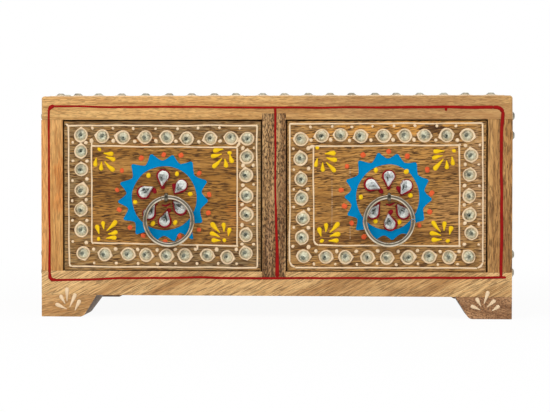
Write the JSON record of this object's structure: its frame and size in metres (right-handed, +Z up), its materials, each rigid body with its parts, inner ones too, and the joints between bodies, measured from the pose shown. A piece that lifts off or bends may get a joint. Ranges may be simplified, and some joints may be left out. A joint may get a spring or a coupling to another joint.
{
  "type": "jewellery box",
  "caption": "Wooden jewellery box on tapered feet, with side-by-side drawers, hanging ring pulls and glued glass stones on its drawer fronts, top and sides.",
  "frame": {"origin": "the middle of the footprint of the whole box, rings and stones included, at the soles of the feet", "axes": "+X to the right as seen from the front, -Y out of the drawer fronts, +Z up"},
  "size_m": [0.2644, 0.1564, 0.1247],
  "materials": {
    "pale_mango": "satin",
    "warm_mango": "satin",
    "brown_mango": "satin",
    "drawer_mango": "satin",
    "inner_wood": "matte",
    "thin_board": "matte",
    "felt": "matte",
    "round_glass": "gloss",
    "petal_glass": "gloss",
    "nickel": "gloss",
    "steel": "satin",
    "red_paint": "satin",
    "dark_red_paint": "satin",
    "cream_paint": "satin",
    "blue_paint": "satin",
    "yellow_paint": "satin",
    "orange_paint": "satin"
  },
  "bodies": {
    "case": {"back_panel": "thin_board", "back_panel_pins": "steel", "bottom_board": "pale_mango", "case_dowels": "inner_wood", "centre_divider": "brown_mango", "foot_screws": "steel", "front_left_foot": "pale_mango", "front_right_foot": "brown_mango", "left_side_board": "warm_mango", "left_side_petal_stones": "petal_glass", "left_side_stones": "round_glass", "rear_left_foot": "pale_mango", "rear_right_foot": "brown_mango", "right_side_board": "brown_mango", "right_side_petal_stones": "petal_glass", "right_side_stones": "round_glass", "top_board": "pale_mango", "top_border_stones": "round_glass", "top_petal_stones": "petal_glass"},
    "left_drawer": {"left_drawer_back": "inner_wood", "left_drawer_border_stones": "round_glass", "left_drawer_bottom": "thin_board", "left_drawer_front": "drawer_mango", "left_drawer_left_side": "inner_wood", "left_drawer_lining": "felt", "left_drawer_petal_stones": "petal_glass", "left_drawer_pins": "steel", "left_drawer_right_side": "inner_wood", "left_drawer_split_pin": "nickel"},
    "left_ring": {"left_pull_ring": "nickel"},
    "right_drawer": {"right_drawer_back": "inner_wood", "right_drawer_border_stones": "round_glass", "right_drawer_bottom": "thin_board", "right_drawer_front": "drawer_mango", "right_drawer_left_side": "inner_wood", "right_drawer_lining": "felt", "right_drawer_petal_stones": "petal_glass", "right_drawer_pins": "steel", "right_drawer_right_side": "inner_wood", "right_drawer_split_pin": "nickel"},
    "right_ring": {"right_pull_ring": "nickel"}
  },
  "joints": [
    {"name": "left_drawer_slide", "type": "slide", "parent": "case", "child": "left_drawer", "axis": [0, -1, 0], "range_m": [0, 0.115]},
    {"name": "right_drawer_slide", "type": "slide", "parent": "case", "child": "right_drawer", "axis": [0, -1, 0], "range_m": [0, 0.115]},
    {"name": "left_ring_hinge", "type": "hinge", "parent": "left_drawer", "child": "left_ring", "pos_m": [-0.05955, -0.07565, 0.0665], "axis": [-1, 0, 0], "range_deg": [-3, 180]},
    {"name": "right_ring_hinge", "type": "hinge", "parent": "right_drawer", "child": "right_ring", "pos_m": [0.06277, -0.07565, 0.0669], "axis": [-1, 0, 0], "range_deg": [-3, 180]}
  ]
}
